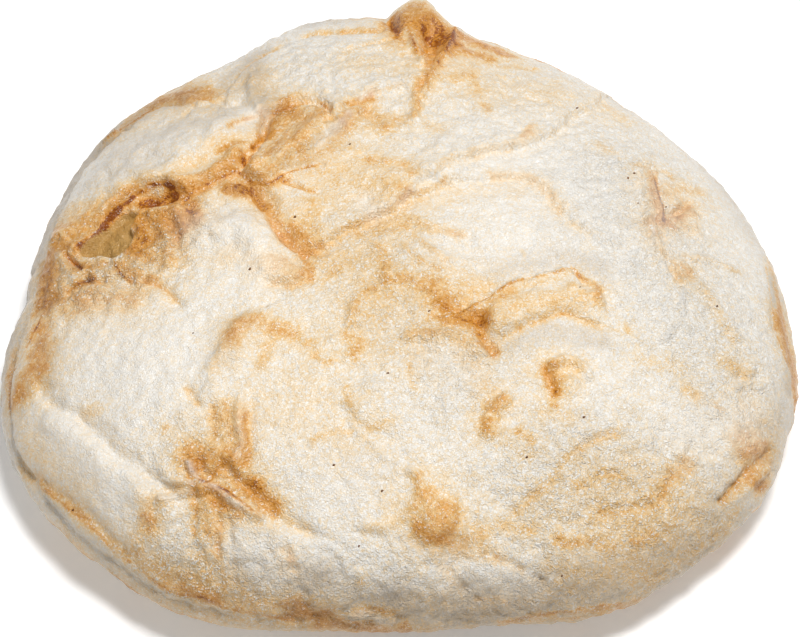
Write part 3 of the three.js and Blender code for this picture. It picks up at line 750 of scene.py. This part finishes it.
    (0.56, 1.8, 2, [(210, 493), (219, 499), (223, 506)]),
    (0.36, 3.8, 2, [(202, 488), (222, 498)]),
    (0.2, 2.4, 2, [(228, 508), (246, 508)]),
    (0.4, 1.0, 2, [(195, 491), (195, 512), (196, 534)]),
    (0.36, 1.4, 2, [(206, 501), (207, 518), (208, 532)]),
    (0.4, 0.9, 2, [(219, 512), (219, 532), (220, 556)]),
    (0.26, 2.4, 2, [(230, 514), (244, 520)]),
    (0.32, 2.6, 2, [(178, 485), (190, 490)]),
    (0.16, 3.0, 2, [(182, 442), (178, 462)]),
    (0.2, 2.4, 2, [(160, 504), (156, 530)]),
    (0.24, 1.4, 2, [(188, 390), (198, 404)]),
    (0.24, 5.0, 2, [(207, 564), (227, 582)]),
    # lower left
    (0.36, 2.4, 2, [(146, 512), (150, 524)]),
    (0.24, 2.4, 2, [(134, 536), (142, 530)]),
    (0.05, (4.0, 0.9), 2, [(85, 421), (110, 446), (140, 467), (173, 494)]),
    (0.3, 1.7, 2, [(166, 428)]),
    (0.2, 2.0, 2, [(86, 412), (96, 410)]),
    # speckled lower right
    (0.18, 13.0, 3, [(612, 500), (632, 496), (665, 507), (640, 525)]),
    (0.24, 1.8, 2, [(516, 510), (530, 500), (545, 486), (560, 470), (572, 456), (590, 444), (615, 433)]),
    (0.26, 1.6, 2, [(578, 488), (600, 477), (615, 473)]),
    (0.32, 3.0, 2, [(662, 492), (674, 479), (684, 466)]),
    (0.25, 3.0, 2, [(600, 515), (640, 508), (662, 500)]),
    (0.36, 2.4, 2, [(560, 540), (585, 542), (610, 546)]),
    (0.32, 2.0, 2, [(630, 540), (655, 536)]),
    (0.24, 2.4, 2, [(505, 525), (535, 530)]),
    (0.38, 5.2, 3, [(742, 440), (760, 456), (762, 480)]),
    (0.44, 2.0, 2, [(748, 452), (768, 446)]),
    (0.34, 1.8, 2, [(722, 499), (736, 482), (752, 464)]),
    (0.42, 1.8, 2, [(752, 482), (764, 488)]),
    (0.3, 1.2, 2, [(716, 404), (720, 410)]),
    (0.26, 2.2, 2, [(686, 388), (696, 396)]),
    (0.22, 3.0, 2, [(728, 362), (742, 372)]),
    (0.12, 3.0, 2, [(640, 358), (680, 366)]),
    (0.14, 8.0, 2, [(650, 530), (700, 520)]),
    # faint washes of the open skin
    (0.11, 12.0, 2, [(290, 400), (350, 425)]),
    (0.11, 10.0, 2, [(470, 85), (550, 92)]),
    (0.1, 10.0, 2, [(560, 512), (620, 540), (690, 520)]),
    (0.14, 8.0, 2, [(742, 408), (770, 438)]),
    (0.12, 8.0, 2, [(28, 448), (78, 488)]),
    (0.12, 6.0, 2, [(262, 75), (270, 100)]),
    (0.14, 7.0, 2, [(370, 195), (400, 230)]),
    # rim: right, left, upper left and near
    (0.56, (7.0, 2.0), 3, [(778, 314), (781, 332), (786, 350), (791, 368), (793, 390)]),
    (0.3, (4.0, 1.0), 3, [(769, 262), (775, 285), (780, 312)]),
    (0.5, 4.8, 3, [(40, 334), (39, 352), (32, 372), (20, 392)]),
    (0.2, 1.2, 2, [(44, 370), (46, 390)]),
    (0.42, 3.0, 2, [(15, 358), (9, 382), (11, 405)]),
    (0.46, 5.0, 2, [(150, 103), (178, 96), (205, 96)]),
    (0.2, 4.0, 2, [(124, 122), (150, 101), (176, 88), (200, 85)]),
    (0.1, 5.0, 2, [(215, 98), (240, 84), (256, 72)]),
    (0.24, 4.6, 2, [(108, 138), (122, 126), (150, 107)]),
    (0.2, 1.4, 2, FAR_EDGE),
    # toasting with painted shade in the band above the lower left seam
    (0.3, (3.0, 2.0), 2, [(22, 468), (45, 488), (75, 510), (100, 530), (130, 557)]),
    (0.26, 1.6, 2, [(40, 485), (60, 501), (80, 516), (95, 529), (106, 542), (120, 555)]),
    (0.46, (2.2, 2.0), 2, [(165, 585), (190, 592), (212, 600)]),
    (0.34, 1.4, 2, [(212, 602), (250, 613), (290, 620)]),
    (0.3, 5.0, 2, [(140, 560), (200, 590), (260, 605), (330, 612)]),
    (0.18, 6.0, 2, [(560, 572), (600, 578), (640, 570)]),
    (0.2, 4.0, 2, [(40, 512), (100, 565), (170, 605), (240, 621), (320, 630)]),
    (0.5, 2.2, 2, [(292, 617), (308, 612), (324, 615)]),
    (0.36, 1.7, 2, [(358, 611), (378, 609), (396, 612)]),
    (0.26, 3.0, 2, [(330, 630), (400, 633), (470, 628)]),
    (0.48, 4.0, 2, [(298, 606), (316, 621), (360, 628), (400, 630)]),
    (0.3, 2.4, 2, [(285, 556), (294, 568)]),
    (0.1, 5.0, 2, [(135, 126), (175, 110), (210, 108)]),
    (0.08, 4.0, 2, [(252, 70), (258, 90)]),
    (0.38, 1.4, 2, [(500, 622), (560, 613), (620, 605), (640, 598)]),
    (0.32, 2.2, 2, [(505, 626), (560, 619), (620, 611)]),
    (0.22, 5.0, 2, [(640, 585), (690, 555), (730, 520)]),
    (0.36, 1.1, 2, [(360, 583)]),
    (0.26, 1.4, 2, [(480, 597), (510, 600)]),
    (0.14, 7.0, 2, [(430, 602), (500, 606), (570, 596)]),
    (0.26, 1.4, 2, [(500, 558), (520, 570)]),
    (0.2, 2.0, 2, [(446, 565), (460, 585)]),
]
HALO_STRENGTH, HALO_WIDTH, BLENDING = 0.3, 2.2, 2.5
TOAST_STRENGTH, TOAST_BREAKS = 1.05, 0.25
TOAST_SHIFTS = [(1.1, 7), (0.7, 2.8)]
BROAD_PATCHES, BROAD_SPAN = 0.46, (-0.15, 0.7)
SMALL_PATCHES, SMALL_SPAN = 0.22, (-0.1, 0.8)
ragged = shaken(TOAST_SHIFTS)
toast_and_shade = np.zeros(len(bare))
for strength, width, sharp, path in TOAST_AND_SHADE:
    near, widths, _ = stroke(path, width, surface, ragged)
    share = np.maximum(np.exp(-(widths**sharp)), HALO_STRENGTH * np.exp(-((widths / HALO_WIDTH) ** 2)))
    toast_and_shade[near] += (strength * share) ** BLENDING
toast_and_shade = TOAST_STRENGTH * toast_and_shade ** (1 / BLENDING) * (1 + TOAST_BREAKS * bumps(size=6, seed=7, octaves=2))
# The far side and the underside are toasted in chance patches, as the near side is.
patchy = BROAD_PATCHES * smooth(bumps(size=24, seed=11), *BROAD_SPAN)
patchy += SMALL_PATCHES * smooth(bumps(size=9, seed=12), *SMALL_SPAN)
toast_and_shade += hidden * patchy


def brushed(mask, rows):
    # A mask with soft strokes laid over it. The stronger of the two holds.
    for share, width, path in rows:
        near, widths, _ = stroke(path, width, surface, ragged)
        mask[near] = np.maximum(mask[near], share * np.exp(-(widths**2)))
    return mask


# Ridges, edges and patches tinted white, partly flour and partly painted highlights on lit ridges and edges:
# share, width in millimetres, path in pixels.
FLOUR_AND_HIGHLIGHT_STROKES = [
    (0.7, 0.5, [
        (651, 226), (655, 242), (661, 259), (669, 273), (680, 287), (684, 305), (680, 320), (668, 335),
        (660, 341),
    ]),
    (0.45, 2.4, [(364, 200), (376, 213)]),
    (0.32, 20.0, [(520, 165), (600, 190), (660, 225)]),
    (0.22, 16.0, [(105, 335), (160, 362)]),
    (0.25, 8.0, [(520, 235), (460, 245)]),
    (0.35, 8.0, [(205, 225), (238, 240), (262, 262)]),
    (0.3, 6.0, [(436, 360), (470, 374)]),
    (0.3, 8.0, [(62, 420), (92, 455), (122, 480)]),
    (0.3, 6.0, [(245, 548), (300, 565)]),
    (0.3, 6.0, [(455, 578), (520, 584)]),
    (0.42, 8.0, [(692, 432), (718, 426), (745, 415)]),
    (0.5, 0.7, [(358, 97), (376, 90), (398, 82)]),
    (0.55, 1.6, [(243, 111), (258, 113)]),
    (0.25, 2.0, [(452, 172), (478, 168)]),
    (0.4, 0.6, [(372, 210), (392, 202), (420, 187), (435, 174), (460, 160), (500, 149), (538, 143)]),
    (0.55, 0.6, UPPER_RAY),
    (0.5, 0.6, MIDDLE_RAY),
    (0.5, 0.7, LOWER_RAY),
    (0.5, 0.7, [(202, 481), (216, 489), (232, 499), (248, 509), (264, 517)]),
    (0.2, 1.0, [(242, 396), (240, 430), (239, 456)]),
    (0.5, 0.8, [(410, 585), (430, 573), (450, 560)]),
    (0.5, 0.8, [(350, 618), (370, 618), (392, 621)]),
    (0.5, 0.8, [(238, 126), (252, 121), (268, 117)]),
    (0.5, 0.9, [(316, 142), (330, 136), (342, 126), (352, 116)]),
]
flour_and_highlights = brushed(np.zeros(len(bare)), FLOUR_AND_HIGHLIGHT_STROKES)

# The side of the loaf, which curves down away from the lamp, is tinted greyer and darker: painted shade.
SIDE_SHADE_SHARES = [0.4, 0.36, 0.36, 0.52, 0.9, 0.8, 0.7, 0.36, 0.58, 0.92, 0.8, 0.45]
SIDE_START, SIDE_WAVER = 0.88, 0.04
# Hollows and flanks turned away from the lamp, tinted darker as painted shade: share, width in millimetres,
# path in pixels.
PAINTED_SHADE = [
    (0.55, 4.0, [(252, 60), (254, 84), (266, 103), (282, 112)]),
    (0.4, 5.0, [(165, 105), (210, 94), (236, 84), (252, 72)]),
    (1.0, 6.0, [(104, 144), (128, 124), (152, 108), (180, 98)]),
    (0.4, 3.0, [(215, 94), (235, 74), (262, 54)]),
    (0.5, 2.6, [(266, 130), (274, 116), (286, 108)]),
    (0.7, 3.6, [(774, 280), (780, 320), (786, 345), (790, 365), (791, 390)]),
    (0.3, 8.0, [(110, 165), (170, 130), (220, 112)]),
    (0.3, 4.0, [(510, 344), (545, 332), (600, 338)]),
    (0.25, 4.0, [(500, 274), (560, 258), (600, 270)]),
    (0.35, 3.0, [(300, 162), (325, 148), (345, 132)]),
    (0.35, 3.0, [(412, 542), (436, 550), (462, 541)]),
    (0.3, 4.0, [(222, 354), (234, 332), (248, 318)]),
    (0.4, 3.0, [(230, 184), (250, 188), (268, 200)]),
    (0.5, 4.0, [(46, 345), (44, 372)]),
    (0.35, 4.0, [(396, 20), (412, 8), (430, 14)]),
    (0.6, 5.0, [(50, 258), (46, 285), (48, 304)]),
    (0.15, 9.0, [(345, 455), (375, 475)]),
]
outward = np.linalg.norm(bare[:, :2], axis=1) / np.linalg.norm(rim_point(turn), axis=1)
side = smooth(outward + SIDE_WAVER * bumps(size=14, seed=8, octaves=2), SIDE_START, 1)
side_shade = brushed(np.where(bare[:, 2] < RIM_HEIGHT, 1, side) * around(SIDE_SHADE_SHARES, turn), PAINTED_SHADE)

# Thin dark lines along creases and sheet edges, partly scorched crust and partly painted shade in the
# creases: darkness, half width in millimetres, path in pixels.
CREASES = [
    (0.85, 0.25, [
        (77, 248), (83, 243), (90, 239), (98, 233), (103, 226), (110, 219), (117, 213), (122, 208),
        (132, 199), (142, 192), (152, 186), (162, 184), (170, 186), (176, 190), (175, 195),
    ]),
    (0.35, 0.25, [(182, 205), (195, 191), (215, 181), (232, 172), (240, 171)]),
    (0.35, 0.25, [(228, 127), (238, 121), (250, 118), (262, 115)]),
    (0.6, 0.24, [(115, 263), (119, 271), (125, 278), (131, 282)]),
    (0.25, 0.28, [(131, 282), (150, 284), (168, 292), (178, 303)]),
    (0.4, 0.28, [(67, 296), (72, 289), (80, 283), (96, 279)]),
    (0.9, 0.35, TEAR_SLOT),
    (0.5, 0.3, [(240, 173), (250, 181), (262, 184), (272, 182), (283, 175), (297, 170), (320, 165)]),
    (0.3, 0.25, [
        (243, 162), (246, 152), (256, 145), (265, 136), (267, 124), (272, 115), (284, 109), (298, 106),
        (312, 102), (322, 104), (332, 110),
    ]),
    (0.15, 0.25, SHEET_EDGE),
    (0.35, 0.25, BLISTER_CRACK),
    (0.15, 0.22, [
        (345, 228), (362, 222), (380, 214), (392, 205), (402, 196), (420, 191), (432, 187), (445, 180),
    ]),
    (0.5, 0.32, [
        (580, 277), (571, 268), (552, 273), (532, 278), (515, 281), (503, 287), (488, 298), (470, 307),
    ]),
    (0.15, 0.22, [(503, 338), (522, 327), (542, 320), (562, 314), (580, 318), (600, 324), (616, 330)]),
    (0.62, 0.35, [(655, 181), (657, 189), (660, 198), (663, 208), (664, 221)]),
    (0.4, 0.26, [(408, 28), (413, 40), (417, 52)]),
    (0.4, 0.26, [(455, 27), (451, 40), (444, 53), (437, 63)]),
    (0.65, 0.28, [(201, 480), (206, 482), (212, 480)]),
    (0.4, 0.24, [(218, 486), (230, 493), (242, 502), (252, 510)]),
    (0.25, 0.3, [(40, 487), (60, 502), (80, 518), (95, 530), (105, 542), (118, 556), (130, 562)]),
    (0.25, 0.3, [(150, 578), (175, 594), (205, 598), (220, 607), (250, 613), (290, 620)]),
    (0.5, 0.28, [(43, 314), (28, 345), (13, 375), (10, 388), (10, 412)]),
    (0.5, 0.25, [(104, 138), (120, 130), (150, 111)]),
    (0.25, 0.3, FAR_EDGE),
    (0.3, 0.28, [(766, 268), (771, 300), (776, 332), (785, 358), (793, 378)]),
    (0.3, 0.25, [(721, 500), (735, 483), (750, 466), (766, 451)]),
    (0.3, 0.3, [(500, 623), (530, 617), (575, 610), (620, 603)]),
    (0.2, 0.25, CURL_SLIT),
]
CREASE_REACH, CREASE_FADE, FAR_OFF = 1.0, 1.3, 4.0
crease_side = np.full(len(bare), FAR_OFF)
crease_dark = np.zeros(len(bare))
crease_gap = np.full(len(bare), np.inf)
for darkness, half_width, path in CREASES:
    near, _, offset = stroke(path, CREASE_REACH, surface, bare)
    closer = np.abs(offset) < crease_gap[near]
    hit, offset = near[closer], offset[closer]
    crease_gap[hit] = np.abs(offset)
    crease_side[hit] = np.clip(offset / half_width, -FAR_OFF, FAR_OFF)
    crease_dark[hit] = darkness * np.exp(-((offset / CREASE_FADE) ** 2))


def make_piece(name, points, faces):
    mesh = bpy.data.meshes.new(name)
    mesh.from_pydata(points, [], faces)
    mesh.shade_smooth()
    piece = bpy.data.objects.new(name, mesh)
    bpy.context.scene.collection.objects.link(piece)
    return piece


skin, tree = surface
loaf = make_piece("crust", ((skin + DOME_MIDDLE) / MM_PER_METRE).tolist(), faces.tolist())
# Marks on the skin, among them the painted shade of the side and flanks and the painted highlights among the
# flour.
marks = {
    "toast_and_shade": toast_and_shade, "tear": tear, "side_shade": side_shade, "grain_share": grain_share,
    "flour_and_highlights": flour_and_highlights, "crease_side": crease_side, "crease_dark": crease_dark,
}
for name, values in marks.items():
    loaf.data.attributes.new(name, "FLOAT", "POINT").data.foreach_set("value", values.astype(np.float32))


def srgb(red, green, blue):
    return tuple(((c / 255 + 0.055) / 1.055) ** 2.4 for c in (red, green, blue)) + (1.0,)


CRUST_TONES = [
    (0.0, srgb(236, 231, 222)),
    (0.12, srgb(240, 220, 188)),
    (0.3, srgb(239, 200, 140)),
    (0.52, srgb(225, 166, 88)),
    (0.75, srgb(214, 144, 44)),
    (1.0, srgb(148, 78, 8)),
]
FLOUR_AND_HIGHLIGHT_WHITE, CRUMB = srgb(252, 249, 243), srgb(197, 154, 87)
SIDE_SHADE, TOASTED_SIDE_SHADE = srgb(152, 131, 105), srgb(136, 92, 50)
CRUST_ROUGHNESS, CRUST_SPECULAR, RELIEF_METRES = 0.28, 0.55, 0.00064
# Noise that breaks up the crust, from coarse to fine: scale, detail and distortion.
TEXTURES = {
    "patches": (330, 4, 0.0), "grain": (800, 3, 1.2), "flecks": (1450, 2, 1.0), "dust": (2500, 1, 0.6),
}
# How textures and marks count: the span of each that is used, and the shares that the span is spread over.
TOAST_GAPS = [("patches", (0.3, 0.7), (0.8, 1.2)), ("grain", (0.35, 0.65), (0.78, 1.22))]
TOAST_SPECKLES = [("grain", (0.3, 0.7), (-0.04, 0.08)), ("flecks", (0.3, 0.7), (0.07, -0.07))]
SCORCH_AND_SHADE_FADE, SCORCH_AND_SHADE_GAPS = ((0.4, 2.2), (1.0, 0.0)), ((0.35, 0.6), (0.35, 1.0))
GLINT_LOSS, GLINT_SHOW = ((0.0, 0.9), (0.0, 0.22)), ((1.0, 1.2), (0.0, 0.85))
GRAINY_GLINTS, GRAINY_RELIEF = ((0.45, 1.25), (0.8, 1.3)), ((0.45, 1.25), (0.42, 1.0))
PALE_SIDE_SHADE, BROWN_SIDE_SHADE = ((0.05, 0.45), (0.85, 0.12)), ((0.15, 0.6), (0.0, 0.5))
TORN_EDGE, PATCHY_RELIEF = ((-0.1, 0.15), (0.0, 1.0)), ((0.3, 0.7), (0.5, 1.0))


def start_finish(name):
    # A new material. The functions below add their nodes to the one that was started last.
    material = bpy.data.materials.new(name)
    material.use_nodes = True
    return material, material.node_tree.nodes, material.node_tree.links


def add_node(kind, operation=None, **values):
    node = nodes.new(kind)
    if operation:
        node.operation = operation
    for name, value in values.items():
        node.inputs[name.replace("_", " ")].default_value = value
    return node


def mark(name):
    node = nodes.new("ShaderNodeAttribute")
    node.attribute_name = name
    return node.outputs["Fac"]


def texture(scale, detail, distortion):
    node = add_node("ShaderNodeTexNoise", Scale=scale, Detail=detail, Distortion=distortion)
    links.new(nodes.new("ShaderNodeTexCoord").outputs["Object"], node.inputs["Vector"])
    return node.outputs["Fac"]


def spread(source, span, shares):
    low, high = span
    first, last = shares
    node = add_node("ShaderNodeMapRange", From_Min=low, From_Max=high, To_Min=first, To_Max=last)
    links.new(source, node.inputs["Value"])
    return node.outputs["Result"]


def combine(operation, first, second):
    node = add_node("ShaderNodeMath", operation)
    links.new(first, node.inputs[0])
    links.new(second, node.inputs[1])
    return node.outputs["Value"]


def toned(source, tones):
    ramp = nodes.new("ShaderNodeValToRGB")
    steps = ramp.color_ramp.elements
    steps[0].position, steps[0].color = tones[0]
    steps[1].position, steps[1].color = tones[-1]
    for position, colour in tones[1:-1]:
        steps.new(position).color = colour
    links.new(source, ramp.inputs["Fac"])
    return ramp.outputs["Color"]


def tint(share, base, colour):
    node = nodes.new("ShaderNodeMix")
    node.data_type = "RGBA"
    links.new(share, node.inputs["Factor"])
    links.new(base, node.inputs[6])
    node.inputs[7].default_value = colour
    return node.outputs[2]


crust, nodes, links = start_finish("crust")
shader = nodes["Principled BSDF"].inputs
shader["Roughness"].default_value = CRUST_ROUGHNESS
shader["Specular IOR Level"].default_value = CRUST_SPECULAR
textures = {name: texture(*shape) for name, shape in TEXTURES.items()}

# Toasting and painted shade, broken up by the textures and darkest along the crease lines, which are partly
# scorching and partly painted shade.
tone = mark("toast_and_shade")
for name, span, shares in TOAST_GAPS:
    tone = combine("MULTIPLY", tone, spread(textures[name], span, shares))
for name, span, shares in TOAST_SPECKLES:
    tone = combine("ADD", tone, spread(textures[name], span, shares))
off_line = add_node("ShaderNodeMath", "ABSOLUTE")
links.new(mark("crease_side"), off_line.inputs[0])
scorch_and_crease_shade = combine("MULTIPLY", spread(off_line.outputs["Value"], *SCORCH_AND_SHADE_FADE), mark("crease_dark"))
scorch_and_crease_shade = combine("MULTIPLY", scorch_and_crease_shade, spread(textures["patches"], *SCORCH_AND_SHADE_GAPS))
tone = combine("ADD", tone, scorch_and_crease_shade)

# Flour and painted highlights, with fine painted glints over them, then the painted shade of the side and the
# crumb in the tear.
sparkle = combine("ADD", textures["flecks"], textures["dust"])
glints = combine("SUBTRACT", sparkle, spread(mark("toast_and_shade"), *GLINT_LOSS))
glints = combine("MULTIPLY", spread(glints, *GLINT_SHOW), spread(mark("grain_share"), *GRAINY_GLINTS))
glints = combine("MAXIMUM", glints, mark("flour_and_highlights"))
colour = tint(glints, toned(tone, CRUST_TONES), FLOUR_AND_HIGHLIGHT_WHITE)
# The side of the loaf and the shaded hollows and flanks are tinted greyer and browner: painted shade.
colour = tint(combine("MULTIPLY", mark("side_shade"), spread(tone, *PALE_SIDE_SHADE)), colour, SIDE_SHADE)
colour = tint(combine("MULTIPLY", mark("side_shade"), spread(tone, *BROWN_SIDE_SHADE)), colour, TOASTED_SIDE_SHADE)
colour = tint(spread(mark("tear"), *TORN_EDGE), colour, CRUMB)
links.new(colour, shader["Base Color"])

# Fine relief of the grain, deeper where the skin is crinkled.
crinkles = combine("MULTIPLY", sparkle, spread(textures["patches"], *PATCHY_RELIEF))
crinkles = combine("ADD", textures["grain"], crinkles)
crinkles = combine("MULTIPLY", crinkles, spread(mark("grain_share"), *GRAINY_RELIEF))
relief = add_node("ShaderNodeBump", Strength=1.0, Distance=RELIEF_METRES)
links.new(crinkles, relief.inputs["Height"])
links.new(relief.outputs["Normal"], shader["Normal"])
loaf.data.materials.append(crust)

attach(loaf, "root")
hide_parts("flatbread")


# The bran specks: chips of wheat husk in the flour, baked dark on the skin and half sunk in it.
# Each is a flat flake of uneven outline, thicker in the middle, lying along the skin where it was rolled in.
SPECK_RADIUS, SPECK_THICKNESS, SPECK_CORNERS = 0.42, 0.16, 8
SPECK_SPREAD, SPECK_NARROWNESS = (0.7, 1.2), 0.7
SPECK_PIXELS = [
    (350, 144), (250, 269), (193, 333), (429, 311), (577, 108), (638, 203), (666, 207), (634, 173),
    (628, 178), (334, 465), (382, 491), (359, 546), (584, 417), (527, 457), (562, 576), (73, 510),
    (295, 217), (580, 287), (717, 306), (388, 373),
]
HIDDEN_SPECKS, HIDDEN_FACING, SPECK_SEED = 24, -0.1, 5
BRAN_TONES = [(0.35, srgb(92, 52, 20)), (0.65, srgb(150, 98, 46))]
BRAN_TEXTURE, BRAN_ROUGHNESS = (900, 2, 0.0), 0.5
chance = np.random.default_rng(SPECK_SEED)
seats = [tree.ray_cast(Vector(eye), Vector(sight(x, y)))[:2] for x, y in SPECK_PIXELS]
while len(seats) < len(SPECK_PIXELS) + HIDDEN_SPECKS:
    face = chance.integers(len(faces))
    if facing[faces[face, 0]] < HIDDEN_FACING and skin[faces[face], 2].min() > SPECK_RADIUS:
        seats.append((Vector(skin[faces[face]].mean(0)), Vector(face_normals[face]).normalized()))
speck_points, speck_faces = [], []
for spot, normal in seats:
    first = len(speck_points)
    across = normal.orthogonal().normalized()
    along = normal.cross(across)
    speck_radius = SPECK_RADIUS * chance.uniform(*SPECK_SPREAD)
    for corner in range(SPECK_CORNERS):
        angle = 2 * math.pi * corner / SPECK_CORNERS
        radius = speck_radius * chance.uniform(*SPECK_SPREAD)
        toward_corner = math.cos(angle) * across + SPECK_NARROWNESS * math.sin(angle) * along
        speck_points.append(spot + radius * toward_corner)
    speck_points += [spot + SPECK_THICKNESS * normal, spot - SPECK_THICKNESS * normal]
    above, below = first + SPECK_CORNERS, first + SPECK_CORNERS + 1
    for corner in range(SPECK_CORNERS):
        here, after = first + corner, first + (corner + 1) % SPECK_CORNERS
        speck_faces += [(here, after, above), (after, here, below)]
speck_places = [(Vector(DOME_MIDDLE) + point) / MM_PER_METRE for point in speck_points]
specks = make_piece("bran_specks", speck_places, speck_faces)

bran, nodes, links = start_finish("bran")
shader = nodes["Principled BSDF"].inputs
shader["Roughness"].default_value = BRAN_ROUGHNESS
links.new(toned(texture(*BRAN_TEXTURE), BRAN_TONES), shader["Base Color"])
specks.data.materials.append(bran)

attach(specks, "root")


# The table: a wide sheet of matt white card, with the loaf set down on it and nothing fixed.
# An even white sky and one soft lamp overhead, a little to the right, light them both.
# Lengths here are in metres, and the lamp's energy is in watts.
FLOOR_SIZE, FLOOR_WHITE, FLOOR_ROUGHNESS, FLOOR_GLOW = 4.0, 0.96, 0.9, 0.2
SKY_STRENGTH = 0.26
LAMP_SIZE, LAMP_ENERGY, LAMP_PLACE = 0.25, 8.5, (0.16, -0.02, 1.0)
WHITE = (1, 1, 1, 1)
half = FLOOR_SIZE / 2
floor_corners = [(-half, -half, 0), (half, -half, 0), (half, half, 0), (-half, half, 0)]
floor = make_piece("floor", floor_corners, [(0, 1, 2, 3)])
card, nodes, _ = start_finish("table")
shader = nodes["Principled BSDF"].inputs
shader["Base Color"].default_value = (FLOOR_WHITE, FLOOR_WHITE, FLOOR_WHITE, 1)
shader["Roughness"].default_value = FLOOR_ROUGHNESS
shader["Emission Color"].default_value = WHITE
shader["Emission Strength"].default_value = FLOOR_GLOW
floor.data.materials.append(card)

sky = bpy.data.worlds.new("sky")
sky.use_nodes = True
sky.node_tree.nodes["Background"].inputs["Color"].default_value = WHITE
sky.node_tree.nodes["Background"].inputs["Strength"].default_value = SKY_STRENGTH
bpy.context.scene.world = sky
bpy.context.scene.view_settings.view_transform = "Standard"
lamp = bpy.data.objects.new("lamp", bpy.data.lights.new("lamp", "AREA"))
lamp.data.size = LAMP_SIZE
lamp.data.energy = LAMP_ENERGY
lamp.location = LAMP_PLACE
lamp.rotation_euler = (-lamp.location).to_track_quat("-Z", "Y").to_euler()
bpy.context.scene.collection.objects.link(lamp)
